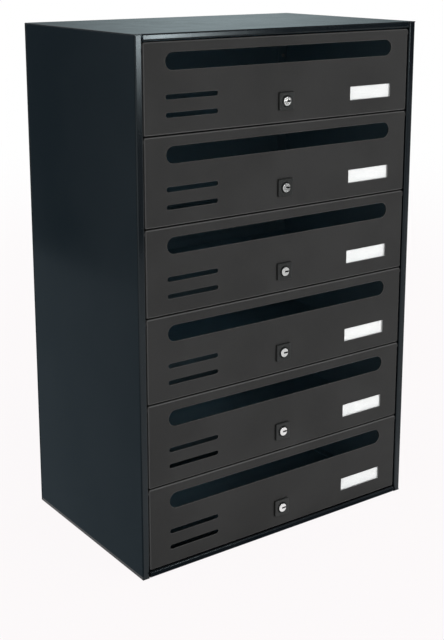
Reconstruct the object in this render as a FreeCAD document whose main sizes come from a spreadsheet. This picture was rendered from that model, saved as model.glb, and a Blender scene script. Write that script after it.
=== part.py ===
import FreeCAD, Part
import math
import os
from types import SimpleNamespace

import Sketcher

# A cluster mailbox: one column of letterboxes in a folded sheet-metal casing.
# Millimetres, +Z up, the doors face -Y, the origin is in the middle of the base's underside.
# Each door hangs on two pins near its top edge. A cam, turned by the key, drops behind a keeper
# that stands up from the shelf or the base below the door.

DOORS = 6
NEAR = 1e-4

SIZES = {
    # Casing, of folded sheet.
    "cabinet_width": 400.0,
    "cabinet_depth": 250.0,
    "case_wall": 1.2,
    "case_bend": 0.4,
    "sheet_edge": 0.6,
    "strip_width": 9.0,
    "lip_height": 7.2,
    "lip_return": 10.0,
    "fold_relief": 2.6,
    "rear_flange": 15.0,
    "weld_flange": 12.0,
    "flange_relief": 8.0,
    # Rear panel: holes for wall bolts, and the rivets that hold the panel.
    "wall_hole_radius": 4.0,
    "wall_hole_spread": 300.0,
    "wall_hole_drop": 14.0,
    "rivet_radius": 1.6,
    "rivet_hole_clearance": 0.1,
    "rivet_head_radius": 3.2,
    "rivet_head_depth": 1.0,
    "rivet_head_round": 0.7,
    "rivet_tail_radius": 2.2,
    "rivet_tail_depth": 1.6,
    # Shelves, and the keeper fold that each lock's cam drops behind.
    "shelf_wall": 1.0,
    "shelf_bend": 0.4,
    "shelf_flange": 10.0,
    "shelf_rear_lip": 10.0,
    "shelf_clearance": 0.3,
    "keeper_height": 12.0,
    "keeper_gap": 1.2,
    # Doors: pans with folded edges.
    "door_pitch": 100.0,
    "door_gap": 1.6,
    "door_recess": 1.0,
    "door_depth": 12.0,
    "door_wall": 1.2,
    "door_bend": 0.8,
    "slot_margin": 27.4,
    "slot_height": 19.0,
    "slot_drop": 21.0,
    "vent_length": 68.0,
    "vent_height": 5.5,
    "vent_drop": 58.5,
    "vent_spacing": 19.5,
    "cut_edge": 0.3,
    # Hinge pins.
    "pivot_inset": 4.5,
    "pin_radius": 2.0,
    "pin_seat_clearance": 0.05,
    "pin_running_clearance": 0.08,
    "pin_head_radius": 3.4,
    "pin_head_depth": 1.5,
    "collar_play": 0.3,
    "pin_end": 1.5,
    # Locks.
    "lock_drop": 74.0,
    "lock_head": 21.0,
    "lock_head_depth": 3.0,
    "lock_head_corner": 1.8,
    "lock_head_bevel": 0.8,
    "lock_dish": 1.8,
    "lock_boss": 15.0,
    "lock_hole_clearance": 0.1,
    "boss_land": 2.0,
    "barrel_radius": 7.2,
    "clip_wall": 1.0,
    "clip_groove": 1.2,
    "clip_arm": 4.0,
    "clip_clearance": 0.1,
    "plug_radius": 4.4,
    "plug_running_clearance": 0.08,
    "plug_head_radius": 5.3,
    "plug_head_clearance": 0.3,
    "plug_head_round": 0.5,
    "plug_seat": 0.6,
    "plug_proud": 1.2,
    "plug_play": 0.15,
    "keyway_width": 2.0,
    "keyway_length": 5.0,
    "keyway_offset": 1.2,
    "keyway_depth": 9.0,
    "key_mouth_depth": 0.8,
    "tail_width": 5.6,
    "tail_clearance": 0.05,
    "tail_short": 0.2,
    "cam_wall": 2.0,
    "cam_width": 14.0,
    "cam_reach": 20.0,
    "cam_clearance": 1.0,
    "cam_play": 0.3,
    "screw_radius": 1.9,
    "screw_clearance": 0.05,
    "screw_length": 5.0,
    "screw_head_radius": 3.6,
    "screw_head_depth": 2.2,
    "screw_head_round": 0.6,
    "screw_slot_width": 1.0,
    "screw_slot_depth": 1.0,
    # Name cards in clear holders behind a window in the door.
    "window_length": 64.0,
    "window_height": 16.0,
    "window_drop": 72.5,
    "window_set_back": 0.3,
    "window_clearance": 0.2,
    "holder_margin": 5.0,
    "holder_front": 0.8,
    "holder_back": 1.0,
    "card_room": 0.6,
    "card_thickness": 0.4,
    "card_margin": 2.0,
    "card_clearance": 0.3,
}


class Size:
    """A length written as an expression on the sheet, with the value that it has now."""

    def __init__(self, text, value):
        self.text = text
        self.value = value

    def __add__(self, other):
        other = as_size(other)
        return Size(f"({self.text} + {other.text})", self.value + other.value)

    def __sub__(self, other):
        other = as_size(other)
        return Size(f"({self.text} - {other.text})", self.value - other.value)

    def __mul__(self, other):
        other = as_size(other)
        return Size(f"({self.text} * {other.text})", self.value * other.value)

    def __truediv__(self, other):
        other = as_size(other)
        return Size(f"({self.text} / {other.text})", self.value / other.value)

    def __neg__(self):
        return Size(f"(0 - {self.text})", -self.value)

    __rmul__ = __mul__


def as_size(thing):
    """A plain number as a size."""
    return thing if isinstance(thing, Size) else Size(str(thing), float(thing))


doc = FreeCAD.newDocument("cluster_mailbox")
sheet = doc.addObject("Spreadsheet::Sheet", "Sizes")
for row, (alias, value) in enumerate(SIZES.items(), start=1):
    sheet.set(f"A{row}", alias)
    sheet.set(f"B{row}", str(value))
    sheet.setAlias(f"B{row}", alias)
doc.recompute()

size = SimpleNamespace(**{alias: Size(f"Sizes.{alias}", value) for alias, value in SIZES.items()})
zero = as_size(0)

# Sizes and places that follow from the sheet, used by more than one piece.
half_width = size.cabinet_width / 2
front = -size.cabinet_depth / 2
back = size.cabinet_depth / 2
cabinet_height = 2 * size.lip_height + DOORS * size.door_pitch + size.door_gap
case_round = size.case_bend + size.case_wall
fold_back = front + size.fold_relief
jamb_inside = half_width - size.strip_width
jamb_outside = jamb_inside + size.case_wall
jamb_depth = size.door_recess + size.door_depth

door_face = front + size.door_recess
door_height = size.door_pitch - size.door_gap
door_half = jamb_inside - size.door_gap
door_round = size.door_bend + size.door_wall
pivot_y = door_face + size.pivot_inset
keeper_front = door_face + size.door_depth + size.keeper_gap
keeper_above_gap = size.keeper_height + size.shelf_wall / 2

boss_half = size.lock_boss / 2
groove_half = boss_half - size.clip_groove
clip_back = size.door_wall + size.clip_wall
cam_front = size.door_depth + size.keeper_gap + size.case_wall + size.cam_clearance
cam_back = cam_front + size.cam_wall
head_front = -size.lock_head_depth
seat_floor = head_front + size.lock_dish + size.plug_seat
tail_half = size.tail_width / 2

slot_half = door_half - size.slot_margin
window_x = slot_half - size.window_length / 2
holder_face = size.door_wall + size.holder_front
card_half_length = size.window_length / 2 + size.card_margin
card_half_height = size.window_height / 2 + size.card_margin


def door_top(number):
    """Height of the top edge of a door, counted from the top."""
    return cabinet_height - size.lip_height - size.door_gap - (number - 1) * size.door_pitch


rivet_x = half_width - (size.rear_flange + size.case_wall) / 2
rivet_z = door_top(DOORS) - door_height / 2


def origin_plane(body, role):
    """One of the body's own origin planes."""
    return next(feature for feature in body.Origin.OriginFeatures if feature.Role == role)


def dimension(sketch, constraint, value):
    """Adds a dimension to a sketch and ties it to the sheet."""
    number = sketch.addConstraint(constraint)
    sketch.setExpression(f"Constraints[{number}]", value.text)


def place_point(sketch, geometry, point, across, along):
    """Fixes one point of a sketch by its two distances from the sketch's origin."""
    dimension(sketch, Sketcher.Constraint("DistanceX", -1, 1, geometry, point, across.value), across)
    dimension(sketch, Sketcher.Constraint("DistanceY", -1, 1, geometry, point, along.value), along)


def polygon(*corners):
    """A closed outline of straight lines."""

    def draw(sketch):
        first = sketch.GeometryCount
        count = len(corners)
        points = [FreeCAD.Vector(across.value, along.value) for across, along in corners]
        for number, start in enumerate(points):
            sketch.addGeometry(Part.LineSegment(start, points[(number + 1) % count]), False)
        for number, (across, along) in enumerate(corners):
            following = first + (number + 1) % count
            sketch.addConstraint(Sketcher.Constraint("Coincident", first + number, 2, following, 1))
            place_point(sketch, first + number, 1, across, along)

    return draw


def rectangle(left, right, low, high):
    """An upright rectangle."""
    return polygon((left, low), (right, low), (right, high), (left, high))


def square(half):
    """A square about the sketch's origin."""
    return rectangle(-half, half, -half, half)


def circle(across, along, radius):
    """A circle."""

    def draw(sketch):
        middle = FreeCAD.Vector(across.value, along.value)
        up = FreeCAD.Vector(0, 0, 1)
        number = sketch.addGeometry(Part.Circle(middle, up, radius.value), False)
        dimension(sketch, Sketcher.Constraint("Radius", number, radius.value), radius)
        place_point(sketch, number, 3, across, along)

    return draw


def round_slot(left, right, along, height):
    """A level slot with half-round ends, from its left end to its right end."""

    def draw(sketch):
        radius = height / 2
        up = FreeCAD.Vector(0, 0, 1)
        quarter = math.pi / 2
        starts = (left + radius, right - radius)
        middles = [FreeCAD.Vector(start.value, along.value) for start in starts]
        rise = FreeCAD.Vector(0, radius.value)
        ends = (
            Part.ArcOfCircle(Part.Circle(middles[0], up, radius.value), quarter, 3 * quarter),
            Part.ArcOfCircle(Part.Circle(middles[1], up, radius.value), 3 * quarter, 5 * quarter),
        )
        left_end = sketch.addGeometry(ends[0], False)
        right_end = sketch.addGeometry(ends[1], False)
        bottom = sketch.addGeometry(Part.LineSegment(middles[0] - rise, middles[1] - rise), False)
        top = sketch.addGeometry(Part.LineSegment(middles[1] + rise, middles[0] + rise), False)
        sketch.addConstraint(Sketcher.Constraint("Tangent", left_end, 2, bottom, 1))
        sketch.addConstraint(Sketcher.Constraint("Tangent", bottom, 2, right_end, 1))
        sketch.addConstraint(Sketcher.Constraint("Tangent", right_end, 2, top, 1))
        sketch.addConstraint(Sketcher.Constraint("Tangent", top, 2, left_end, 1))
        sketch.addConstraint(Sketcher.Constraint("Equal", left_end, right_end))
        dimension(sketch, Sketcher.Constraint("Radius", left_end, radius.value), radius)
        place_point(sketch, left_end, 3, starts[0], along)
        place_point(sketch, right_end, 3, starts[1], along)

    return draw


def extrude(body, kind, name, role, low, high, *outlines):
    """Pads or pockets outlines drawn on one of the body's planes, from low to high across it."""
    sketch = body.newObject("Sketcher::SketchObject", f"{name}_sketch")
    sketch.AttachmentSupport = [(origin_plane(body, role), "")]
    sketch.MapMode = "FlatFace"
    faces_back = role == "XZ_Plane"
    level = -low if faces_back else low
    sketch.setExpression("AttachmentOffset.Base.z", level.text)
    for draw in outlines:
        draw(sketch)
    feature = body.newObject(f"PartDesign::{kind}", name)
    feature.Profile = sketch
    feature.setExpression("Length", (high - low).text)
    feature.Reversed = faces_back == (kind == "Pad")
    return feature


def at(**places):
    """Picks the edges whose ends all lie at the given coordinates."""

    def chosen(edge):
        return all(
            abs(getattr(vertex, axis.upper()) - place.value) < NEAR
            for vertex in edge.Vertexes
            for axis, place in places.items()
        )

    return chosen


def soften(body, kind, name, amount, *choices):
    """Rounds or bevels the edges of the body's last feature that any of the choices picks."""
    doc.recompute()
    base = body.Tip
    edges = enumerate(base.Shape.Edges, start=1)
    picked = [f"Edge{number}" for number, edge in edges if any(chosen(edge) for chosen in choices)]
    feature = body.newObject(f"PartDesign::{kind}", name)
    feature.Base = (base, picked)
    feature.setExpression("Radius" if kind == "Fillet" else "Size", amount.text)
    return feature


def repeat_upwards(body, name, originals):
    """Repeats features once for each door, upwards from the lowest."""
    doc.recompute()
    pattern = body.newObject("PartDesign::LinearPattern", name)
    pattern.Originals = originals
    pattern.Direction = (origin_plane(body, "XY_Plane"), [""])
    pattern.Occurrences = DOORS
    pattern.setExpression("Length", ((DOORS - 1) * size.door_pitch).text)
    body.Tip = pattern
    return pattern


def mirror_across(body, name, originals):
    """Mirrors features from one side of the casing to the other."""
    doc.recompute()
    mirror = body.newObject("PartDesign::Mirrored", name)
    mirror.Originals = originals
    mirror.MirrorPlane = (origin_plane(body, "YZ_Plane"), [""])
    body.Tip = mirror
    return mirror


def new_body(name):
    """An empty body."""
    return doc.addObject("PartDesign::Body", name)


def place(piece, across, deep, tall):
    """Ties a piece's place to the sheet."""
    for axis, value in zip("xyz", (across, deep, tall)):
        piece.setExpression(f"Placement.Base.{axis}", value.text)


def copy_of(body, name, across, deep, tall):
    """A named copy of a body in its own place."""
    piece = doc.addObject("App::Link", name)
    piece.LinkedObject = body
    piece.Label = name
    place(piece, across, deep, tall)
    return piece


def side_panel():
    """Left side: wall, front strip with its jamb, and flanges for the rear, top and base panels."""
    body = new_body("left_side_panel")
    outside = -half_width
    inside = outside + size.case_wall
    flange_end = outside + size.rear_flange
    rear = back - size.case_wall
    rear_inside = rear - size.case_wall
    front_inside = front + size.case_wall
    section = polygon(
        (outside, front),
        (-jamb_inside, front),
        (-jamb_inside, front + jamb_depth),
        (-jamb_outside, front + jamb_depth),
        (-jamb_outside, front_inside),
        (inside, front_inside),
        (inside, rear_inside),
        (flange_end, rear_inside),
        (flange_end, rear),
        (outside, rear),
    )
    low = size.case_wall
    high = cabinet_height - size.case_wall
    extrude(body, "Pad", "side_wall", "XY_Plane", low, high, section)
    outer_folds = (at(x=outside, y=front), at(x=-jamb_inside, y=front), at(x=outside, y=rear))
    inner_folds = (
        at(x=inside, y=front_inside),
        at(x=-jamb_outside, y=front_inside),
        at(x=inside, y=rear_inside),
    )
    soften(body, "Fillet", "side_outer_folds", case_round, *outer_folds)
    soften(body, "Fillet", "side_inner_folds", size.case_bend, *inner_folds)
    flange_front = front + jamb_depth + size.flange_relief
    flange = rectangle(outside, outside + size.weld_flange, flange_front, rear - size.flange_relief)
    extrude(body, "Pad", "top_flange", "XY_Plane", high - size.case_wall, high, flange)
    extrude(body, "Pad", "base_flange", "XY_Plane", low, low + size.case_wall, flange)
    pin_hole = circle(pivot_y, door_top(DOORS) - size.pivot_inset, size.pin_radius + size.pin_seat_clearance)
    pin_holes = extrude(body, "Pocket", "pin_hole", "YZ_Plane", -jamb_outside, -jamb_inside, pin_hole)
    repeat_upwards(body, "pin_holes", [pin_holes])
    rivet_hole = circle(-rivet_x, rivet_z, size.rivet_radius + size.rivet_hole_clearance)
    rivet_holes = extrude(body, "Pocket", "rivet_hole", "XZ_Plane", rear_inside, rear, rivet_hole)
    repeat_upwards(body, "rivet_holes", [rivet_holes])
    return body


def right_side(left):
    """The right side is the left one mirrored."""
    mirrored = doc.addObject("Part::Mirroring", "right_side_panel")
    mirrored.Source = left
    mirrored.Normal = FreeCAD.Vector(1, 0, 0)
    mirrored.Label = "right_side_panel"
    return mirrored


def cover_sheet(body, name, low, high, outer_level):
    """A flat sheet over the whole casing, set back between the strips, where a lip is folded from it."""
    outline = polygon(
        (-half_width, front),
        (-jamb_inside, front),
        (-jamb_inside, fold_back),
        (jamb_inside, fold_back),
        (jamb_inside, front),
        (half_width, front),
        (half_width, back),
        (-half_width, back),
    )
    extrude(body, "Pad", f"{name}_sheet", "XY_Plane", low, high, outline)
    sides = [at(x=end, z=outer_level) for end in (-half_width, half_width)]
    ends = [at(y=end, z=outer_level) for end in (front, back)]
    soften(body, "Fillet", f"{name}_edges", size.sheet_edge, *sides, *ends)


def top_panel():
    """Top sheet, with a lip folded down between the side strips and a return under it."""
    body = new_body("top_panel")
    wall = size.case_wall
    under = cabinet_height - wall
    lip_low = cabinet_height - size.lip_height
    lip_back = front + size.lip_return
    cover_sheet(body, "top", under, cabinet_height, cabinet_height)
    lip = polygon(
        (fold_back, cabinet_height),
        (front, cabinet_height),
        (front, lip_low),
        (lip_back, lip_low),
        (lip_back, lip_low + wall),
        (front + wall, lip_low + wall),
        (front + wall, under),
        (fold_back, under),
    )
    extrude(body, "Pad", "top_lip", "YZ_Plane", -door_half, door_half, lip)
    outer_folds = (at(y=front, z=cabinet_height), at(y=front, z=lip_low))
    inner_folds = (at(y=front + wall, z=under), at(y=front + wall, z=lip_low + wall))
    soften(body, "Fillet", "top_outer_folds", case_round, *outer_folds)
    soften(body, "Fillet", "top_inner_folds", size.case_bend, *inner_folds)
    return body


def base_panel():
    """Base sheet, with a lip folded up between the strips, a return, and the lowest door's keeper."""
    body = new_body("base_panel")
    wall = size.case_wall
    keeper_top = size.lip_height + size.door_gap / 2 + keeper_above_gap
    cover_sheet(body, "base", zero, wall, zero)
    lip = polygon(
        (fold_back, zero),
        (front, zero),
        (front, size.lip_height),
        (keeper_front, size.lip_height),
        (keeper_front, keeper_top),
        (keeper_front + wall, keeper_top),
        (keeper_front + wall, size.lip_height - wall),
        (front + wall, size.lip_height - wall),
        (front + wall, wall),
        (fold_back, wall),
    )
    extrude(body, "Pad", "base_lip", "YZ_Plane", -door_half, door_half, lip)
    outer_folds = (
        at(y=front, z=zero),
        at(y=front, z=size.lip_height),
        at(y=keeper_front + wall, z=size.lip_height - wall),
    )
    inner_folds = (
        at(y=front + wall, z=wall),
        at(y=front + wall, z=size.lip_height - wall),
        at(y=keeper_front, z=size.lip_height),
    )
    soften(body, "Fillet", "base_outer_folds", case_round, *outer_folds)
    soften(body, "Fillet", "base_inner_folds", size.case_bend, *inner_folds)
    return body


def rear_panel():
    """Rear sheet, with four holes for wall bolts and a row of rivet holes down each side."""
    body = new_body("rear_panel")
    inside = back - size.case_wall
    low = size.case_wall
    high = cabinet_height - size.case_wall
    plate = rectangle(-half_width, half_width, low, high)
    extrude(body, "Pad", "rear_sheet", "XZ_Plane", inside, back, plate)
    levels = [door_top(number) - size.wall_hole_drop for number in (1, DOORS)]
    spread = size.wall_hole_spread / 2
    wall_holes = [circle(x, z, size.wall_hole_radius) for x in (-spread, spread) for z in levels]
    extrude(body, "Pocket", "wall_holes", "XZ_Plane", inside, back, *wall_holes)
    hole_radius = size.rivet_radius + size.rivet_hole_clearance
    pair = [circle(x, rivet_z, hole_radius) for x in (-rivet_x, rivet_x)]
    lowest = extrude(body, "Pocket", "rivet_hole_pair", "XZ_Plane", inside, back, *pair)
    repeat_upwards(body, "rivet_holes", [lowest])
    return body


def rear_rivets():
    """Blind rivets through the rear panel and the side panels' flanges."""
    body = new_body("rear_rivets")
    seat = back - 2 * size.case_wall
    head_back = back + size.rivet_head_depth

    def disc(name, low, high, radius):
        return extrude(body, "Pad", name, "XZ_Plane", low, high, circle(rivet_x, rivet_z, radius))

    disc("rivet_head", back, head_back, size.rivet_head_radius)
    soften(body, "Fillet", "rivet_dome", size.rivet_head_round, at(y=head_back))
    disc("rivet_shank", seat, back, size.rivet_radius)
    disc("rivet_tail", seat - size.rivet_tail_depth, seat, size.rivet_tail_radius)
    return both_sides_and_all_doors(body)


def hinge_pins():
    """Shouldered pins, fixed in the jambs, that the doors' side flanges turn on."""
    body = new_body("hinge_pins")
    pivot_z = door_top(DOORS) - size.pivot_inset
    collar_end = door_half + size.collar_play
    pin_tip = door_half - size.door_wall - size.pin_end

    def disc(name, low, high, radius):
        return extrude(body, "Pad", name, "YZ_Plane", low, high, circle(pivot_y, pivot_z, radius))

    disc("pin_shank", pin_tip, jamb_outside, size.pin_radius)
    disc("pin_collar", collar_end, jamb_inside, size.pin_head_radius)
    disc("pin_head", jamb_outside, jamb_outside + size.pin_head_depth, size.pin_head_radius)
    return both_sides_and_all_doors(body)


def both_sides_and_all_doors(body):
    """Repeats a whole piece for each door and on both sides, as separate solids of one body."""
    pattern = repeat_upwards(body, f"{body.Name}_row", [])
    pattern.TransformMode = "Whole shape"
    mirror = mirror_across(body, f"{body.Name}_pair", [])
    mirror.TransformMode = "Whole shape"
    return body


def shelf():
    """Shelf with a keeper at the front, a lip at the rear and flanges down the sides.

    Height is measured from the shelf's top face.
    """
    body = new_body("shelf")
    wall = size.shelf_wall
    rear = back - 2 * size.case_wall - size.case_bend - size.shelf_clearance
    side = half_width - size.case_wall
    section = polygon(
        (keeper_front, -wall),
        (rear, -wall),
        (rear, size.shelf_rear_lip),
        (rear - wall, size.shelf_rear_lip),
        (rear - wall, zero),
        (keeper_front + wall, zero),
        (keeper_front + wall, size.keeper_height),
        (keeper_front, size.keeper_height),
    )
    extrude(body, "Pad", "shelf_sheet", "YZ_Plane", -side, side, section)
    outer_folds = (at(y=keeper_front, z=-wall), at(y=rear, z=-wall))
    inner_folds = (at(y=keeper_front + wall, z=zero), at(y=rear - wall, z=zero))
    soften(body, "Fillet", "shelf_outer_folds", size.shelf_bend + wall, *outer_folds)
    soften(body, "Fillet", "shelf_inner_folds", size.shelf_bend, *inner_folds)
    flange_front = keeper_front + size.flange_relief
    flange = rectangle(flange_front, rear - size.flange_relief, -wall - size.shelf_flange, zero)
    right_flange = extrude(body, "Pad", "shelf_flange", "YZ_Plane", side - wall, side, flange)
    mirror_across(body, "shelf_flanges", [right_flange])
    return body


def door():
    """Door pan, measured from the middle of its top edge, on its face."""
    body = new_body("door")
    wall = size.door_wall
    extrude(body, "Pad", "door_block", "XZ_Plane", zero, size.door_depth,
            rectangle(-door_half, door_half, -door_height, zero))
    corners = [at(x=x, z=z) for x in (-door_half, door_half) for z in (-door_height, zero)]
    soften(body, "Fillet", "door_outer_folds", door_round, at(y=zero), *corners)
    inner_half = door_half - wall
    inner_low = wall - door_height
    hollow = rectangle(-inner_half, inner_half, inner_low, -wall)
    extrude(body, "Pocket", "door_hollow", "XZ_Plane", wall, size.door_depth, hollow)
    inner_corners = [at(x=x, z=z) for x in (-inner_half, inner_half) for z in (inner_low, -wall)]
    inner_lines = [at(y=wall, x=x) for x in (-inner_half, inner_half)]
    inner_rows = [at(y=wall, z=z) for z in (inner_low, -wall)]
    soften(body, "Fillet", "door_inner_folds", size.door_bend, *inner_corners, *inner_lines, *inner_rows)
    mail = round_slot(-slot_half, slot_half, -size.slot_drop, size.slot_height)
    vent_drops = (size.vent_drop, size.vent_drop + size.vent_spacing)
    vent_end = size.vent_length - slot_half
    vents = [round_slot(-slot_half, vent_end, -drop, size.vent_height) for drop in vent_drops]
    window_half = size.window_height / 2
    window = rectangle(slot_half - size.window_length, slot_half,
                       -size.window_drop - window_half, window_half - size.window_drop)
    hole_half = boss_half + size.lock_hole_clearance
    lock_hole = rectangle(-hole_half, hole_half, -size.lock_drop - hole_half, hole_half - size.lock_drop)
    extrude(body, "Pocket", "door_openings", "XZ_Plane", zero, wall, mail, *vents, window, lock_hole)
    on_face = at(y=zero)

    def opening_edge(edge):
        return on_face(edge) and all(abs(end.X) < slot_half.value + NEAR for end in edge.Vertexes)

    soften(body, "Fillet", "opening_edges", size.cut_edge, opening_edge)
    pin_hole = circle(size.pivot_inset, -size.pivot_inset, size.pin_radius + size.pin_running_clearance)
    extrude(body, "Pocket", "door_pin_holes", "YZ_Plane", -door_half, door_half, pin_hole)
    return body


def lock_housing():
    """Lock housing with a dish round the plug, measured from the lock's axis at the door's face."""
    body = new_body("lock_housing")
    head_half = size.lock_head / 2
    barrel_end = cam_front - size.cam_play
    extrude(body, "Pad", "lock_head", "XZ_Plane", head_front, zero, square(head_half))
    corners = [at(x=x, z=z) for x in (-head_half, head_half) for z in (-head_half, head_half)]
    soften(body, "Fillet", "lock_head_corners", size.lock_head_corner, *corners)
    soften(body, "Chamfer", "lock_head_bevel", size.lock_head_bevel, at(y=head_front))
    extrude(body, "Pad", "lock_boss", "XZ_Plane", zero, clip_back + size.boss_land, square(boss_half))
    extrude(body, "Pad", "lock_barrel", "XZ_Plane", zero, barrel_end, circle(zero, zero, size.barrel_radius))
    grooves = [
        rectangle(-boss_half, -groove_half, -boss_half, boss_half),
        rectangle(groove_half, boss_half, -boss_half, boss_half),
    ]
    extrude(body, "Pocket", "clip_grooves", "XZ_Plane", size.door_wall, clip_back, *grooves)
    bore = circle(zero, zero, size.plug_radius + size.plug_running_clearance)
    extrude(body, "Pocket", "plug_bore", "XZ_Plane", head_front, barrel_end, bore)
    seat_radius = size.plug_head_radius + size.plug_head_clearance
    seat = circle(zero, zero, seat_radius)
    extrude(body, "Pocket", "plug_seat", "XZ_Plane", head_front, seat_floor, seat)
    soften(body, "Chamfer", "lock_dish", size.lock_dish, at(x=seat_radius, y=head_front, z=zero))
    return body


def lock_clip():
    """Fork that slides into the housing's grooves behind the door and holds the lock."""
    body = new_body("lock_clip")
    inside = groove_half + size.clip_clearance
    outside = inside + size.clip_arm
    bight = boss_half + size.clip_clearance
    fork = polygon(
        (-outside, -boss_half),
        (-inside, -boss_half),
        (-inside, bight),
        (inside, bight),
        (inside, -boss_half),
        (outside, -boss_half),
        (outside, bight + size.clip_arm),
        (-outside, bight + size.clip_arm),
    )
    extrude(body, "Pad", "clip_fork", "XZ_Plane", size.door_wall, clip_back, fork)
    return body


def lock_plug():
    """Plug that the key turns: head, shaft, square tail, keyway open at the rim, and screw hole."""
    body = new_body("lock_plug")
    face = head_front - size.plug_proud
    head_back = seat_floor - size.plug_play
    tail_end = cam_back - size.tail_short
    extrude(body, "Pad", "plug_head", "XZ_Plane", face, head_back, circle(zero, zero, size.plug_head_radius))
    soften(body, "Fillet", "plug_rim", size.plug_head_round, at(y=face))
    extrude(body, "Pad", "plug_shaft", "XZ_Plane", head_back, cam_front, circle(zero, zero, size.plug_radius))
    extrude(body, "Pad", "plug_tail", "XZ_Plane", cam_front, tail_end, square(tail_half))
    keyway_left = -size.keyway_offset
    keyway_half = size.keyway_width / 2
    keyway = rectangle(keyway_left, keyway_left + size.keyway_length, -keyway_half, keyway_half)
    extrude(body, "Pocket", "keyway", "XZ_Plane", face, face + size.keyway_depth, keyway)
    mouth = rectangle(keyway_left, size.plug_head_radius + keyway_half, -keyway_half, keyway_half)
    extrude(body, "Pocket", "key_mouth", "XZ_Plane", face, face + size.key_mouth_depth, mouth)
    screw_hole = circle(zero, zero, size.screw_radius + size.screw_clearance)
    extrude(body, "Pocket", "screw_hole", "XZ_Plane", cam_back - size.screw_length, tail_end, screw_hole)
    return body


def lock_cam():
    """Flat cam on the plug's tail. It points sideways when the lock is open."""
    body = new_body("lock_cam")
    hub = size.cam_width / 2
    arm = round_slot(-hub, size.cam_reach, zero, size.cam_width)
    extrude(body, "Pad", "cam_arm", "XZ_Plane", cam_front, cam_back, arm)
    hole = square(tail_half + size.tail_clearance)
    extrude(body, "Pocket", "cam_hole", "XZ_Plane", cam_front, cam_back, hole)
    return body


def cam_screw():
    """Screw that holds the cam on the plug's tail."""
    body = new_body("cam_screw")
    head_back = cam_back + size.screw_head_depth
    slot_half_width = size.screw_slot_width / 2
    head = circle(zero, zero, size.screw_head_radius)
    extrude(body, "Pad", "screw_head", "XZ_Plane", cam_back, head_back, head)
    soften(body, "Fillet", "screw_rim", size.screw_head_round, at(y=head_back))
    shank = circle(zero, zero, size.screw_radius)
    extrude(body, "Pad", "screw_shank", "XZ_Plane", cam_back - size.screw_length, cam_back, shank)
    slot = rectangle(-size.screw_head_radius, size.screw_head_radius, -slot_half_width, slot_half_width)
    extrude(body, "Pocket", "screw_slot", "XZ_Plane", head_back - size.screw_slot_depth, head_back, slot)
    return body


def card_holder():
    """Clear holder bonded behind the door's window, measured from the window's middle on the face."""
    body = new_body("card_holder")
    pane_half_length = size.window_length / 2 - size.window_clearance
    pane_half_height = size.window_height / 2 - size.window_clearance
    plate_half_length = size.window_length / 2 + size.holder_margin
    plate_half_height = size.window_height / 2 + size.holder_margin
    plate_back = holder_face + size.card_room + size.holder_back
    pane = rectangle(-pane_half_length, pane_half_length, -pane_half_height, pane_half_height)
    plate = rectangle(-plate_half_length, plate_half_length, -plate_half_height, plate_half_height)
    room_left = -card_half_length - size.card_clearance
    room_half = card_half_height + size.card_clearance
    room = rectangle(room_left, plate_half_length, -room_half, room_half)
    extrude(body, "Pad", "holder_plate", "XZ_Plane", size.door_wall, plate_back, plate)
    extrude(body, "Pad", "holder_pane", "XZ_Plane", size.window_set_back, size.door_wall, pane)
    extrude(body, "Pocket", "holder_room", "XZ_Plane", holder_face, holder_face + size.card_room, room)
    return body


def name_card():
    """Blank card that slides into the holder."""
    body = new_body("name_card")
    card_front = holder_face + (size.card_room - size.card_thickness) / 2
    outline = rectangle(-card_half_length, card_half_length, -card_half_height, card_half_height)
    extrude(body, "Pad", "card", "XZ_Plane", card_front, card_front + size.card_thickness, outline)
    return body


def assemble():
    """Every piece of the mailbox in its place."""
    left = side_panel()
    pieces = [left, right_side(left), top_panel(), base_panel(), rear_panel(), rear_rivets(), hinge_pins()]
    shelf_design = shelf()
    for number in range(1, DOORS):
        shelf_z = door_top(number + 1) + (size.door_gap + size.shelf_wall) / 2
        pieces.append(copy_of(shelf_design, f"shelf_{number}", zero, zero, shelf_z))
    door_design = door()
    lock_designs = [lock_housing(), lock_clip(), lock_plug(), lock_cam(), cam_screw()]
    card_designs = [card_holder(), name_card()]
    for number in range(1, DOORS + 1):
        top = door_top(number)
        lock_z = top - size.lock_drop
        window_z = top - size.window_drop
        pieces.append(copy_of(door_design, f"door_{number}", zero, door_face, top))
        for design in lock_designs:
            pieces.append(copy_of(design, f"{design.Name}_{number}", zero, door_face, lock_z))
        for design in card_designs:
            pieces.append(copy_of(design, f"{design.Name}_{number}", window_x, door_face, window_z))
    doc.recompute()
    return pieces


def check(pieces):
    """Stops if any object failed or any piece has no sound shape."""
    failed = [thing.Name for thing in doc.Objects if {"Invalid", "Error"} & set(thing.State)]
    if failed:
        raise RuntimeError(f"objects that failed: {failed}")
    unsound = [piece.Label for piece in pieces if piece.Shape.isNull() or not piece.Shape.isValid()]
    if unsound:
        raise RuntimeError(f"pieces with no sound shape: {unsound}")


def write(pieces):
    """One file for each piece, named by its label."""
    os.makedirs("parts", exist_ok=True)
    for piece in pieces:
        piece.Shape.exportStep(f"parts/{piece.Label}.step")


pieces = assemble()
check(pieces)
write(pieces)
print(len(pieces), "pieces,", sum(len(piece.Shape.Solids) for piece in pieces), "solids")
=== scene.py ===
import math
from typing import NamedTuple

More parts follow.
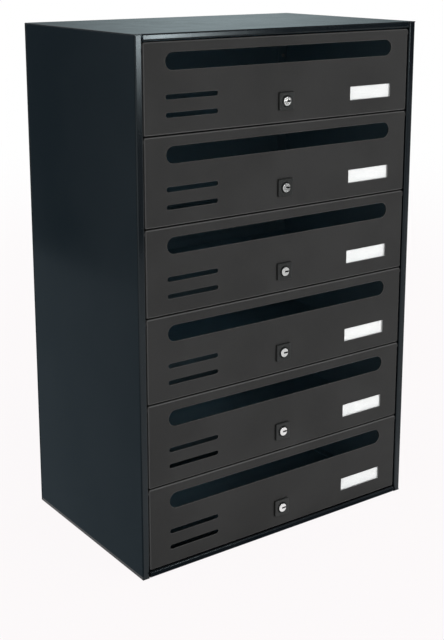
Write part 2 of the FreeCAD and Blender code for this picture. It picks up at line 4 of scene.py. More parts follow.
import bmesh
import bpy
from bpy.props import FloatProperty, FloatVectorProperty, PointerProperty
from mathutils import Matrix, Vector


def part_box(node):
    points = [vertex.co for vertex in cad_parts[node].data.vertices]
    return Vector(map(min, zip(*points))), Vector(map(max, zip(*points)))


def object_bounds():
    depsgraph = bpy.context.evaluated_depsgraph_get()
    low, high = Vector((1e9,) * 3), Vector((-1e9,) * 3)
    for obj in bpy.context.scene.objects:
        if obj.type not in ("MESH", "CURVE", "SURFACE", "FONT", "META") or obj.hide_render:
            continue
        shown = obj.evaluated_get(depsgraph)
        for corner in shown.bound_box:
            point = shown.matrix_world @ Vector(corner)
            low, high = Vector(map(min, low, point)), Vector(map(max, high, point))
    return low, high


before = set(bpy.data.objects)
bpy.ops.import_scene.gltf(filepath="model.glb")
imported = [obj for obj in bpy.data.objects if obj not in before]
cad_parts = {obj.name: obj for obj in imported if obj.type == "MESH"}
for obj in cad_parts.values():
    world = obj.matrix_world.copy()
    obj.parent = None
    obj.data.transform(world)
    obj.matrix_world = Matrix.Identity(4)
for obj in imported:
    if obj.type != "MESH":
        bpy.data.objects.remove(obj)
cad_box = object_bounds()

bl_info = {
    "name": "Cluster Mailbox",
    "version": (1, 0, 0),
    "blender": (4, 5, 0),
    "location": "View3D > Sidebar > Mailbox",
    "description": "Paints a six-door cluster mailbox and sets it on a studio floor",
    "category": "Object",
}

# Places taken from the frame, in metres.
cad_low, cad_high = cad_box
door_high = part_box("door_1")[1]
door_pitch = door_high.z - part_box("door_2")[1].z
lock_low, lock_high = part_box("lock_plug_1")
lock_x = (lock_low.x + lock_high.x) / 2
lock_z = (lock_low.z + lock_high.z) / 2
lock_radius = (lock_high.x - lock_low.x) / 2
plug_face = lock_low.y
rear_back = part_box("rear_panel")[1].y

WHITE = (1.0, 1.0, 1.0)
BLACK = (0.0, 0.0, 0.0)

# A colour Mix node's own sockets, which share their names with those for numbers and vectors.
MIX_COLOURS = (6, 7)
MIX_COLOUR_RESULT = 2

# The output at which a Vector Math node gives a number, such as a length.
NUMBER_RESULT = 1

# How far the light runs round a sharp edge, in metres.
PAINTED_EDGE = 0.0004
MOULDED_EDGE = 0.0003
METAL_EDGE = 0.0002

PLASTIC_IOR = 1.49
HAZY_PLASTIC = (0.86, 0.88, 0.88)
CLEAN_PLASTIC = (0.92, 0.93, 0.93)

# The floor keeps its tint out to the first distance from the mailbox and is white from the second.
FLOOR_TINTED = 0.6
FLOOR_WHITE = 3.0
FLOOR_SHADED = (0.86, 0.85, 0.85)
FLOOR_LIGHT = (0.89, 0.88, 0.88)

# How much of the floor near the mailbox is its own even tone. The rest takes the mailbox's shadow.
FLOOR_EVEN = 0.95


class Wire:
    """An output of a shader node. Python's operators on it add Math nodes."""

    def __init__(self, sheet, socket):
        self.sheet = sheet
        self.socket = socket

    def maths(self, operation, *operands):
        """A Math node on these operands."""
        return self.sheet.node("ShaderNodeMath", {"operation": operation}, dict(enumerate(operands)))

    def __add__(self, other):
        return self.maths("ADD", self, other)

    def __sub__(self, other):
        return self.maths("SUBTRACT", self, other)

    def __rsub__(self, other):
        return self.maths("SUBTRACT", other, self)

    def __mul__(self, other):
        return self.maths("MULTIPLY", self, other)

    def __truediv__(self, other):
        return self.maths("DIVIDE", self, other)

    def __pow__(self, other):
        return self.maths("POWER", self, other)

    __radd__ = __add__
    __rmul__ = __mul__

    def either(self, other):
        """The larger of the two."""
        return self.maths("MAXIMUM", self, other)

    def size(self):
        """The number without its sign."""
        return self.maths("ABSOLUTE", self)

    def wave(self):
        """The sine of the number."""
        return self.maths("SINE", self)

    def ramp(self, low, high):
        """A smooth rise from 0 at low to 1 at high."""
        settings = {"interpolation_type": "SMOOTHSTEP"}
        return self.sheet.node("ShaderNodeMapRange", settings, {0: self, 1: low, 2: high})


class Sheet:
    """A node tree, with short ways to add the nodes that the finishes here share."""

    def __init__(self, tree):
        self.tree = tree

    def node(self, kind, settings=None, sockets=None, output=0):
        """Adds a node: first its settings, then the values or links of its sockets."""
        node = self.tree.nodes.new(kind)
        for name, value in (settings or {}).items():
            setattr(node, name, value)
        self.fill(node, sockets or {})
        return Wire(self, node.outputs[output])

    def fill(self, node, sockets):
        """Sets or links a node's sockets."""
        for key, value in sockets.items():
            socket = node.inputs[key]
            if isinstance(value, Wire):
                self.tree.links.new(value.socket, socket)
            elif socket.type == "RGBA":
                socket.default_value = (*value, 1.0)
            else:
                socket.default_value = value

    def place(self):
        """The point on the piece, in the frame's own metres."""
        return self.node("ShaderNodeTexCoord", output="Object")

    def parts(self, vector):
        """A vector's three numbers."""
        split = self.node("ShaderNodeSeparateXYZ", sockets={0: vector})
        return [Wire(self, socket) for socket in split.socket.node.outputs]

    def noise(self, size, detail=2.0, stretch=(1.0, 1.0, 1.0)):
        """Soft noise whose patches are about this size across, drawn out along the axes."""
        scale = [1.0 / (size * length) for length in stretch]
        spread = {"Vector": self.place(), "Scale": scale}
        vector = self.node("ShaderNodeMapping", sockets=spread)
        return self.node("ShaderNodeTexNoise", sockets={"Vector": vector, "Scale": 1.0, "Detail": detail})

    def cells(self, size):
        """Random tones, one to each cell of about this size."""
        sockets = {"Vector": self.place(), "Scale": 1.0 / size}
        return self.node("ShaderNodeTexVoronoi", sockets=sockets, output="Color")

    def blend(self, share, first, second):
        """Two colours mixed by a share of the second."""
        sockets = {0: share, MIX_COLOURS[0]: first, MIX_COLOURS[1]: second}
        return self.node("ShaderNodeMix", {"data_type": "RGBA"}, sockets, MIX_COLOUR_RESULT)

    def rounded(self, radius):
        """The surface's direction, with edges rounded over this radius."""
        return self.node("ShaderNodeBevel", {"samples": 6}, {"Radius": radius})

    def edges(self, radius):
        """1 along outer and inner edges, falling to 0 within this radius."""
        flat = self.node("ShaderNodeNewGeometry", output="Normal")
        sockets = {0: self.rounded(radius), 1: flat}
        level = self.node("ShaderNodeVectorMath", {"operation": "DOT_PRODUCT"}, sockets, NUMBER_RESULT)
        return (1.0 - level).ramp(0.01, 0.25)

    def upward(self):
        """1 where the piece faces up, at rest."""
        facing = self.node("ShaderNodeTexCoord", output="Normal")
        return self.parts(facing)[2].ramp(0.7, 0.98)

    def front_edges(self):
        """1 on the roundings between a front face and what folds back from it, at rest."""
        facing = self.node("ShaderNodeTexCoord", output="Normal")
        tilt = 1.0 + self.parts(facing)[1]
        off_front = tilt.ramp(0.02, 0.20)
        folded_back = tilt.ramp(0.60, 1.00)
        return off_front * (1.0 - folded_back)

    def bump(self, height, depth, edge_radius=None):
        """A surface direction that follows a height of this depth, on softened edges."""
        sockets = {"Height": height, "Distance": depth, "Strength": 1.0}
        if edge_radius:
            sockets["Normal"] = self.rounded(edge_radius)
        return self.node("ShaderNodeBump", sockets=sockets)


def new_finish(name, **constants):
    """A material with its surface shader, whose even values are set at once."""
    finish = bpy.data.materials.new(name)
    finish.use_nodes = True
    sheet = Sheet(finish.node_tree)
    shader = finish.node_tree.nodes["Principled BSDF"]
    sheet.fill(shader, {key.replace("_", " "): value for key, value in constants.items()})
    return finish, sheet, shader


def paler(colour, share):
    """A colour brought towards white by a share."""
    return [part + (1.0 - part) * share for part in colour]


def darker(colour, share):
    """A colour taken down by a share."""
    return [part * (1.0 - share) for part in colour]


def dress(finish, *stems):
    """Gives a finish to the nodes with these names, numbered or not."""
    missing = set(stems)
    for name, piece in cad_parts.items():
        stem = name.rstrip("0123456789").rstrip("_")
        if stem in stems:
            missing.discard(stem)
            for slot in piece.material_slots:
                slot.material = finish
    if missing:
        raise RuntimeError(f"the frame has no node for {sorted(missing)}")


def settle_in_door(sheet):
    """Where a point lies on its own door: across from the lock and up from the lock, in metres."""
    across, _, tall = sheet.parts(sheet.place())
    drop = (door_high.z - tall) / door_pitch
    share = sheet.node("ShaderNodeMath", {"operation": "FRACT"}, {0: drop})
    return across - lock_x, (door_high.z - lock_z) - share * door_pitch


def from_lock(sheet):
    """Distance from the axis of the nearest lock."""
    across, up = settle_in_door(sheet)
    return (across * across + up * up) ** 0.5


def within_casing(sheet, skin, overspray):
    """1 inside the casing: under its outer skin, behind the doors, and on floors past the overspray."""
    across, deep, tall = sheet.parts(sheet.place())
    step = skin * 0.1
    sides = (cad_high.x - across.size()).ramp(skin - step, skin + step)
    rear = (rear_back - deep).ramp(skin - step, skin + step)
    base = (tall - cad_low.z).ramp(skin - step, skin + step)
    top = (cad_high.z - tall).ramp(skin - step, skin + step)
    behind = deep - door_high.y
    past_doors = behind.ramp(0.0, 0.01)
    past_overspray = behind.ramp(overspray * 0.15, overspray)
    sprayed = sheet.upward() * (1.0 - past_overspray)
    return sides * rear * base * top * past_doors * (1.0 - sprayed)


class CasingLook(bpy.types.PropertyGroup):
    """Satin paint on the casing, and a thin coat inside it and on the shelves."""

    colour: FloatVectorProperty(
        name="Colour",
        description="Colour of the casing's paint",
        subtype="COLOR",
        min=0.0,
        max=1.0,
        default=(0.0040, 0.0062, 0.0085),
    )
    reflection: FloatVectorProperty(
        name="Reflection",
        description="Tint of what the paint reflects",
        subtype="COLOR",
        min=0.0,
        max=1.0,
        default=(0.81, 0.95, 1.0),
    )
    inner_coat: FloatVectorProperty(
        name="Inner coat",
        description="Colour of the thin coat inside the casing",
        subtype="COLOR",
        min=0.0,
        max=1.0,
        default=(0.305, 0.438, 0.508),
    )
    skin: FloatProperty(
        name="Skin",
        description="Depth from the outside at which the inner coat begins, within the sheet's thickness",
        subtype="DISTANCE",
        unit="LENGTH",
        precision=5,
        default=0.0008,
    )
    overspray: FloatProperty(
        name="Overspray",
        description="How far the outer paint reaches in along the floors behind the doors",
        subtype="DISTANCE",
        unit="LENGTH",
        default=0.16,
    )
    dust: FloatVectorProperty(
        name="Dust",
        description="Colour of the dust on upward faces",
        subtype="COLOR",
        min=0.0,
        max=1.0,
        default=(0.20, 0.19, 0.18),
    )
    roughness: FloatProperty(
        name="Roughness",
        description="How far the paint spreads a reflection",
        subtype="FACTOR",
        min=0.0,
        max=1.0,
        default=0.13,
    )
    gloss: FloatProperty(
        name="Gloss",
        description="Strength of the paint's reflection",
        subtype="FACTOR",
        min=0.0,
        max=1.0,
        default=0.28,
    )
    ripple: FloatProperty(
        name="Ripple",
        description="Distance between the ripples of the sprayed paint",
        subtype="DISTANCE",
        unit="LENGTH",
        default=0.0028,
    )
    ripple_depth: FloatProperty(
        name="Ripple depth",
        description="Height of the ripples",
        subtype="DISTANCE",
        unit="LENGTH",
        precision=6,
        default=0.000008,
    )


class DoorLook(bpy.types.PropertyGroup):
    """Fine-textured powder coat on the doors."""

    colour: FloatVectorProperty(
        name="Colour",
        description="Colour of the doors' powder coat",
        subtype="COLOR",
        min=0.0,
        max=1.0,
        default=(0.0335, 0.0335, 0.0332),
    )
    roughness: FloatProperty(
        name="Roughness",
        description="How far the coat spreads a reflection",
        subtype="FACTOR",
        min=0.0,
        max=1.0,
        default=0.70,
    )
    gloss: FloatProperty(
        name="Gloss",
        description="Strength of the coat's reflection",
        subtype="FACTOR",
        min=0.0,
        max=1.0,
        default=0.10,
    )
    grain: FloatProperty(
        name="Grain",
        description="Size of the powder's grains",
        subtype="DISTANCE",
        unit="LENGTH",
        default=0.0008,
    )
    grain_depth: FloatProperty(
        name="Grain depth",
        description="Height of the grains",
        subtype="DISTANCE",
        unit="LENGTH",
        precision=6,
        default=0.000012,
    )
    handled: FloatProperty(
        name="Handled",
        description="How far from a lock the coat is rubbed smooth by hands",
        subtype="DISTANCE",
        unit="LENGTH",
        default=0.045,
    )


class LockLook(bpy.types.PropertyGroup):
    """Moulded lock heads and plated plugs."""

    head: FloatVectorProperty(
        name="Head",
        description="Colour of the moulded lock head",
        subtype="COLOR",
        min=0.0,
        max=1.0,
        default=(0.014, 0.0155, 0.015),
    )
    plating: FloatVectorProperty(
        name="Plating",
        description="Colour of the plug's plating",
        subtype="COLOR",
        min=0.0,
        max=1.0,
        default=(0.86, 0.87, 0.86),
    )
    # The keyway colour is painted shade that stands in for the shadow inside the keyway.
    keyway: FloatVectorProperty(
        name="Keyway",
        description="Colour of the greasy walls of the keyway",
        subtype="COLOR",
        min=0.0,
        max=1.0,
        default=(0.020, 0.018, 0.016),
    )
    turning: FloatProperty(
        name="Turning marks",
        description="Distance between the rings that a lathe left on the plug",
        subtype="DISTANCE",
        unit="LENGTH",
        precision=5,
        default=0.00035,
    )


class FixingLook(bpy.types.PropertyGroup):
    """Zinc-plated rivets, clips, cams and screws, and blackened pins."""

    zinc: FloatVectorProperty(
        name="Zinc",
        description="Colour of the zinc plating",
        subtype="COLOR",
        min=0.0,
        max=1.0,
        default=(0.60, 0.61, 0.62),
    )
    tarnish: FloatVectorProperty(
        name="Tarnish",
        description="Colour where the zinc has dulled",
        subtype="COLOR",
        min=0.0,
        max=1.0,
        default=(0.34, 0.34, 0.33),
    )
    black: FloatVectorProperty(
        name="Black",
        description="Colour of the blackened pins",
        subtype="COLOR",
        min=0.0,
        max=1.0,
        default=(0.014, 0.014, 0.015),
    )
    spangle: FloatProperty(
        name="Spangle",
        description="Size of the zinc's crystals",
        subtype="DISTANCE",
        unit="LENGTH",
        default=0.0016,
    )


class CardLook(bpy.types.PropertyGroup):
    """Blank cards and their clear holders."""

    paper: FloatVectorProperty(
        name="Paper",
        description="Colour of the blank cards",
        subtype="COLOR",
        min=0.0,
        max=1.0,
        default=(0.95, 0.95, 0.945),
    )
    clear: FloatProperty(
        name="Clear",
        description="How much the holder lets through",
        subtype="FACTOR",
        min=0.0,
        max=1.0,
        default=0.98,
    )
    fibre: FloatProperty(
        name="Fibre",
        description="Length of the paper's fibres",
        subtype="DISTANCE",
        unit="LENGTH",
        default=0.0012,
    )


class StageLook(bpy.types.PropertyGroup):
    """Floor, lights and camera."""

    floor: FloatVectorProperty(
        name="Floor",
        description="Colour of the floor",
        subtype="COLOR",
        min=0.0,
        max=1.0,
        default=(1.0, 0.972, 0.978),
    )
    floor_radius: FloatProperty(
        name="Floor radius",
        description="How far the floor reaches",
        subtype="DISTANCE",
        unit="LENGTH",
        default=9.0,
    )
    ambient: FloatProperty(
        name="Ambient",
        description="Even light from all round",
        min=0.0,
        default=0.43,
    )
    key_power: FloatProperty(
        name="Key light",
        description="Power of the upright softbox at the front",
        unit="POWER",
        min=0.0,
        default=28.2,
    )
    top_power: FloatProperty(
        name="Top light",
        description="Power of the wide softbox overhead",
        unit="POWER",
        min=0.0,
        default=8.0,
    )
    highlight: FloatProperty(
        name="Highlight",
        description="Brightness of the lit board that the casing's front edges reflect",
        min=0.0,
        default=174.0,
    )
    azimuth: FloatProperty(
        name="Azimuth",
        description="Camera's turn round the mailbox from straight in front",
        subtype="ANGLE",
        unit="ROTATION",
        default=math.radians(-35.66),
    )
    elevation: FloatProperty(
        name="Elevation",
        description="Camera's rise above the level",
        subtype="ANGLE",
        unit="ROTATION",
        default=math.radians(12.60),
    )
    distance: FloatProperty(
        name="Distance",
        description="Camera's distance from the point that it looks at",
        subtype="DISTANCE",
        unit="LENGTH",
        default=1.466,
    )
    aim_height: FloatProperty(
        name="Aim height",
        description="Height of the point that the camera looks at",
        subtype="DISTANCE",
        unit="LENGTH",
        default=0.3785,
    )
    lens: FloatProperty(
        name="Lens",
        description="Focal length",
        unit="CAMERA",
        default=66.05,
    )
    shift: FloatProperty(
        name="Shift",
        description="Shift of the lens, as a share of the frame, that keeps upright edges nearly upright",
        default=-0.165,
    )


def casing_paint(look):
    """Satin paint: soft clouds in the colour, ripples, paler edges that are partly thinner paint and partly a
    painted highlight, and dust on top.
    """
    finish, sheet, shader = new_finish(
        "casing_paint",
        Specular_IOR_Level=look.gloss,
        Specular_Tint=look.reflection,
    )
    colour = list(look.colour)
    clouds = sheet.noise(size=0.12, detail=4.0)
    smears = sheet.noise(size=0.03, detail=3.0, stretch=(1.0, 1.0, 5.0))
    specks = sheet.noise(size=0.0011, detail=1.0).ramp(0.62, 0.74)
    edge = sheet.edges(radius=0.0007)
    dust = sheet.upward() * (0.35 + 0.65 * sheet.noise(size=0.02, detail=5.0))
    body = sheet.blend(clouds.ramp(0.3, 0.7), darker(colour, 0.12), paler(colour, 0.004))
    # Paler edges: partly thinner paint at the folds and partly a painted highlight where the edges would
    # catch the light.
    marked_tone = sheet.blend(edge * 0.35, body, paler(colour, 0.05))
    inner = list(look.inner_coat)
    thin_coat = sheet.blend(smears, darker(inner, 0.15), inner)
    coated = sheet.blend(within_casing(sheet, look.skin, look.overspray), marked_tone, thin_coat)
    dusty = sheet.blend(dust * (0.03 + 0.05 * specks), coated, list(look.dust))
    roughness = look.roughness + 0.07 * (smears - 0.5) + 0.05 * (clouds - 0.5) + 0.06 * dust
    ripples = sheet.noise(size=look.ripple, detail=1.0)
    direction = sheet.bump(ripples, look.ripple_depth, edge_radius=PAINTED_EDGE)
    sheet.fill(shader, {"Base Color": dusty, "Roughness": roughness, "Normal": direction})
    return finish


def door_paint(look):
    """Fine-textured powder coat, with paler edges and folds as a painted highlight, and rubbed a little
    smoother by hands near the lock.
    """
    finish, sheet, shader = new_finish("door_paint", Specular_IOR_Level=look.gloss)
    colour = list(look.colour)
    clouds = sheet.noise(size=0.07, detail=4.0)
    grains = sheet.noise(size=look.grain, detail=2.0)
    flecks = sheet.noise(size=look.grain * 0.6, detail=0.0).ramp(0.60, 0.75)
    edge = sheet.edges(radius=0.0010).either(sheet.front_edges())
    away_from_lock = from_lock(sheet).ramp(look.handled * 0.25, look.handled)
    rubbed = (1.0 - away_from_lock) * clouds.ramp(0.35, 0.6)
    body = sheet.blend(clouds.ramp(0.3, 0.7), darker(colour, 0.10), paler(colour, 0.003))
    flecked = sheet.blend(flecks * 0.5, body, paler(colour, 0.012))
    # Painted highlight: the doors' edges, front folds and the edges of their openings are paler, where they
    # would catch the light.
    marked_tone = sheet.blend(edge * 0.6, flecked, paler(colour, 0.13))
    roughness = look.roughness + 0.10 * (grains - 0.5) + 0.05 * (clouds - 0.5) - 0.10 * rubbed
    direction = sheet.bump(grains, look.grain_depth, edge_radius=PAINTED_EDGE)
    sheet.fill(shader, {"Base Color": marked_tone, "Roughness": roughness, "Normal": direction})
    return finish


def lock_head(look):
    """Moulded head, finely textured, with paler edges that are partly rubbed and partly a painted highlight.
    """
    finish, sheet, shader = new_finish("lock_head_black", Specular_IOR_Level=0.3)
    colour = list(look.head)
    texture = sheet.noise(size=0.0005, detail=2.0)
    patches = sheet.noise(size=0.006, detail=3.0)
    edge = sheet.edges(radius=0.0006)
    body = sheet.blend(patches, darker(colour, 0.2), paler(colour, 0.008))
    # Paler edges: partly rubbed and partly a painted highlight along the head's bevels.
    marked_tone = sheet.blend(edge * 0.5, body, paler(colour, 0.10))
    roughness = 0.34 + 0.12 * (patches - 0.5) + 0.08 * (texture - 0.5)
    direction = sheet.bump(texture, depth=0.000010, edge_radius=MOULDED_EDGE)
    sheet.fill(shader, {"Base Color": marked_tone, "Roughness": roughness, "Normal": direction})
    return finish


def plug_plating(look):
    """Plated plug with faint turning rings, fine scratches from keys, and painted shade in the keyway."""
    finish, sheet, shader = new_finish("lock_plug_chrome", Metallic=1.0)
    colour = list(look.plating)
    radius = from_lock(sheet)
    rings = (radius * (2.0 * math.pi / look.turning)).wave()
    depth = sheet.parts(sheet.place())[1] - plug_face
    rim = radius.ramp(lock_radius * 0.94, lock_radius * 0.99)
    keyway = depth.ramp(0.0001, 0.0005) * (1.0 - rim)
    scratches = sheet.noise(size=0.0016, detail=4.0, stretch=(3.0, 1.0, 0.4)).ramp(0.58, 0.72)
    patches = sheet.noise(size=0.004, detail=3.0)
    body = sheet.blend(patches * 0.6, colour, darker(colour, 0.18))
    marked_tone = sheet.blend(scratches * 0.4, body, darker(colour, 0.35))
    # Painted shade: the keyway's walls take a dark colour in place of the shadow inside the keyway.
    painted_keyway_shade = sheet.blend(keyway, marked_tone, list(look.keyway))
    roughness = 0.20 + 0.10 * patches + 0.12 * scratches + 0.3 * keyway
    height = rings * 0.5 + scratches
    direction = sheet.bump(height, depth=0.000003, edge_radius=METAL_EDGE)
    sheet.fill(shader, {"Base Color": painted_keyway_shade, "Roughness": roughness, "Normal": direction})
    return finish


def blackened_steel(look):
    """Blackened pins, with the steel showing through a little at their edges."""
    finish, sheet, shader = new_finish("blackened_steel", Specular_IOR_Level=0.4)
    black = list(look.black)
    patches = sheet.noise(size=0.004, detail=3.0)
    body = sheet.blend(patches, darker(black, 0.3), paler(black, 0.01))
    marked_tone = sheet.blend(sheet.edges(radius=0.0003) * 0.4, body, list(look.tarnish))
    roughness = 0.42 + 0.2 * (patches - 0.5)
    direction = sheet.bump(patches, depth=0.000006, edge_radius=METAL_EDGE)
    sheet.fill(shader, {"Base Color": marked_tone, "Roughness": roughness, "Normal": direction})
    return finish


def zinc_plating(look):
    """Zinc plating: small crystals of different tones, dulled in patches."""
    finish, sheet, shader = new_finish("zinc_steel", Metallic=1.0)
    tone = sheet.parts(sheet.cells(look.spangle))[0]
    patches = sheet.noise(size=0.012, detail=4.0)
    bright = list(look.zinc)
    spangled = sheet.blend(tone, darker(bright, 0.12), paler(bright, 0.12))
    dulled = sheet.blend(patches.ramp(0.45, 0.75) * 0.7, spangled, list(look.tarnish))
    roughness = 0.30 + 0.12 * tone + 0.18 * patches
    direction = sheet.bump(tone + sheet.noise(size=0.0006), depth=0.000004, edge_radius=METAL_EDGE)
    sheet.fill(shader, {"Base Color": dulled, "Roughness": roughness, "Normal": direction})
    return finish


def card_paper(look):
    """Uncoated paper with short fibres and a slight unevenness."""
    finish, sheet, shader = new_finish("card_white", Specular_IOR_Level=0.2)
    paper = list(look.paper)
    fibres = sheet.noise(size=look.fibre, detail=4.0, stretch=(2.5, 1.0, 0.5))
    clouds = sheet.noise(size=0.015, detail=2.0)
    body = sheet.blend(clouds, paper, darker(paper, 0.02))
    fibrous = sheet.blend(fibres.ramp(0.55, 0.75) * 0.35, body, darker(paper, 0.06))
    roughness = 0.80 + 0.12 * fibres
    direction = sheet.bump(fibres, depth=0.000006)
    sheet.fill(shader, {"Base Color": fibrous, "Roughness": roughness, "Normal": direction})
    return finish


def clear_plastic(look):
    """Clear sheet that shows at a slant and where it is scratched."""
    finish, sheet, shader = new_finish("clear_plastic", IOR=PLASTIC_IOR)
    scratches = sheet.noise(size=0.004, detail=5.0, stretch=(4.0, 1.0, 0.3)).ramp(0.60, 0.72)
    haze = sheet.noise(size=0.02, detail=2.0)
    slant = sheet.node("ShaderNodeFresnel", sockets={"IOR": PLASTIC_IOR})
    alpha = (1.0 - look.clear) + 0.04 * scratches + 0.5 * slant
    tint = sheet.blend(haze, HAZY_PLASTIC, CLEAN_PLASTIC)
    roughness = 0.06 + 0.10 * haze + 0.25 * scratches
    sheet.fill(shader, {"Base Color": tint, "Roughness": roughness, "Alpha": alpha})
    return finish


def seen_directly(sheet):
    """1 for what the camera sees, straight, in a reflection or through glass."""
    ray = sheet.node("ShaderNodeLightPath")
    outputs = ray.socket.node.outputs
    kinds = ("Is Camera Ray", "Is Glossy Ray", "Is Transmission Ray")
    camera, glossy, through = [Wire(sheet, outputs[kind]) for kind in kinds]
    return camera.either(glossy).either(through)


def floor_finish(look):
    """Pale floor that goes over to white far out and keeps the mailbox's shadow near it."""
    finish, sheet, shader = new_finish("studio_floor", Roughness=0.9, Specular_IOR_Level=0.1)
    away = sheet.node("ShaderNodeVectorMath", {"operation": "LENGTH"}, {0: sheet.place()}, NUMBER_RESULT)
    far = away.ramp(FLOOR_TINTED, FLOOR_WHITE)
    grain = sheet.noise(size=0.35, detail=3.0)
    pale = sheet.blend(far, list(look.floor), WHITE)
    matt = sheet.blend(grain, FLOOR_SHADED, FLOOR_LIGHT)
    sockets = {
        "Base Color": BLACK,
        "Specular IOR Level": 0.0,
        "Emission Color": pale,
        "Emission Strength": 1.0,
    }
    glow = sheet.node("ShaderNodeBsdfPrincipled", sockets=sockets)
    share = seen_directly(sheet) * (FLOOR_EVEN + (1.0 - FLOOR_EVEN) * far)
    sheet.fill(shader, {"Base Color": matt})
    matt_surface = Wire(sheet, shader.outputs[0])
    surface = sheet.node("ShaderNodeMixShader", sockets={0: share, 1: matt_surface, 2: glow})
    output = finish.node_tree.nodes["Material Output"]
    sheet.fill(output, {"Surface": surface})
    return finish


class Board(NamedTuple):
    """A studio board that only reflections see.

    It has a middle and a size in metres, a way that it faces, and a cloth that may change towards its middle.
    """

    name: str
    place: tuple
    facing: tuple
    width: float
    height: float
    cloth: tuple
    cloth_in_middle: tuple = None


class Softbox(NamedTuple):
    """A rectangular lamp turned to the mailbox, with its middle and its size in metres."""

    name: str
    place: tuple
    width: float
    height: float


KEY_SOFTBOX = Softbox("key_softbox", place=(0.8, -2.3, 0.28), width=0.9, height=0.5)
TOP_SOFTBOX = Softbox("top_softbox", place=(0.0, -0.4, 2.2), width=1.1, height=1.1)

UP = (0.0, 0.0, 1.0)
DOWN = (0.0, 0.0, -1.0)
REARWARD = (0.0, 1.0, 0.0)
RIGHTWARD = (1.0, 0.0, 0.0)
LEFT_AND_FORWARD = (-1.3, -1.9, 0.0)

NEAR_BLACK = (0.020, 0.026, 0.030)
DEEP_BLUE = (0.10, 0.15, 0.185)
SLATE = (0.24, 0.31, 0.36)
MID_GREY = (0.50, 0.50, 0.50)
PALE_GREY = (0.75, 0.75, 0.75)
DIM_CLOUD = (0.09, 0.108, 0.117)
CLOUD = (0.40, 0.486, 0.51)

# The lit board's fall of light, the share left in a strip at its left edge, and where that strip ends.
LIT_FALL = 5.0
LIT_EDGE_SHARE = 0.20
LIT_EDGE = (0.10, 0.20)
LIT_BOARD = Board(
    name="lit_board",
    place=(0.85, -1.39, 0.35),
    facing=REARWARD,
    width=0.70,
    height=0.42,
    cloth=WHITE,
)

BOARDS = (
    Board(
        name="front_board",
        place=(0.70, -1.40, 0.62),
        facing=REARWARD,
        width=1.00,
        height=1.24,
        cloth=NEAR_BLACK,
    ),
    Board(
        name="right_board",
        place=(1.70, -1.38, 0.90),
        facing=REARWARD,
        width=1.00,
        height=1.12,
        cloth=NEAR_BLACK,
    ),
    Board(
        name="right_foot",
        place=(1.70, -1.38, 0.17),
        facing=REARWARD,
        width=1.00,
        height=0.34,
        cloth=MID_GREY,
    ),
    Board(
        name="right_ground",
        place=(0.85, -0.70, 0.004),
        facing=UP,
        width=1.10,
        height=1.40,
        cloth=PALE_GREY,
    ),
    Board(
        name="front_ground",
        place=(0.005, -0.131, 0.0005),
        facing=UP,
        width=0.385,
        height=0.011,
        cloth=NEAR_BLACK,
    ),
    Board(
        name="left_board",
        place=(-0.80, 1.20, 0.45),
        facing=RIGHTWARD,
        width=2.60,
        height=0.90,
        cloth=DEEP_BLUE,
    ),
    Board(
        name="left_front_board",
        place=(-0.799, 0.70, 0.45),
        facing=RIGHTWARD,
        width=1.00,
        height=0.90,
        cloth=DEEP_BLUE,
        cloth_in_middle=SLATE,
    ),
    Board(
        name="left_ground",
        place=(-0.51, 0.80, 0.004),
        facing=UP,
        width=0.62,
        height=2.40,
        cloth=SLATE,
    ),
    Board(
        name="ceiling",
        place=(0.60, 0.00, 2.00),
        facing=DOWN,
        width=3.00,
        height=2.40,
        cloth=NEAR_BLACK,
    ),
    Board(
        name="rear_board",
        place=(1.36, 1.86, 1.35),
        facing=LEFT_AND_FORWARD,
        width=1.80,
        height=1.60,
        cloth=DIM_CLOUD,
        cloth_in_middle=CLOUD,
    ),
)


def new_cloth(name, strength):
    """A material that only shines, with its nodes and the places across and up its board, from 0 to 1."""
    finish, sheet, shader = new_finish(
        name,
        Base_Color=BLACK,
        Specular_IOR_Level=0.0,
        Emission_Strength=strength,
    )
    across, up, _ = sheet.parts(sheet.node("ShaderNodeTexCoord", output="Generated"))
    return finish, sheet, shader, across, up


def board_cloth(board):
    """Cloth of a board, graded from its sides to its middle."""
    finish, sheet, shader, across, _ = new_cloth(board.name, 1.0)
    middle = across.ramp(0.0, 0.5) * (1.0 - across.ramp(0.5, 1.0))
    cloth = sheet.blend(middle, board.cloth, board.cloth_in_middle or board.cloth)
    weave = sheet.noise(size=0.02, detail=2.0)
    sheet.fill(shader, {"Emission Color": sheet.blend(weave * 0.1, cloth, BLACK)})
    return finish


def lit_cloth(board, strength):
    """Lit cloth of a board, fading towards its foot and to the right, with a dimmer left edge."""
    finish, sheet, shader, across, up = new_cloth(board.name, strength)
    left_edge = LIT_EDGE_SHARE + (1.0 - LIT_EDGE_SHARE) * across.ramp(*LIT_EDGE)
    lit = left_edge * (1.0 - across) ** LIT_FALL * up ** LIT_FALL
    sheet.fill(shader, {"Emission Color": sheet.blend(lit, BLACK, board.cloth)})
    return finish


def light_world(look):
    """White surroundings to look at, with a quieter even light."""
    world = bpy.data.worlds.new("studio")
    world.use_nodes = True
    sheet = Sheet(world.node_tree)
    even = world.node_tree.nodes["Background"]
    sheet.fill(even, {"Color": WHITE, "Strength": look.ambient})
    white = sheet.node("ShaderNodeBackground", sockets={"Color": WHITE, "Strength": 1.0})
    sockets = {0: seen_directly(sheet), 1: Wire(sheet, even.outputs[0]), 2: white}
    surroundings = sheet.node("ShaderNodeMixShader", sockets=sockets)
    sheet.fill(world.node_tree.nodes["World Output"], {"Surface": surroundings})
    bpy.context.scene.world = world


def add_object(name, data):
    """An object in the scene with this data."""
    thing = bpy.data.objects.new(name, data)
    bpy.context.scene.collection.objects.link(thing)
    return thing


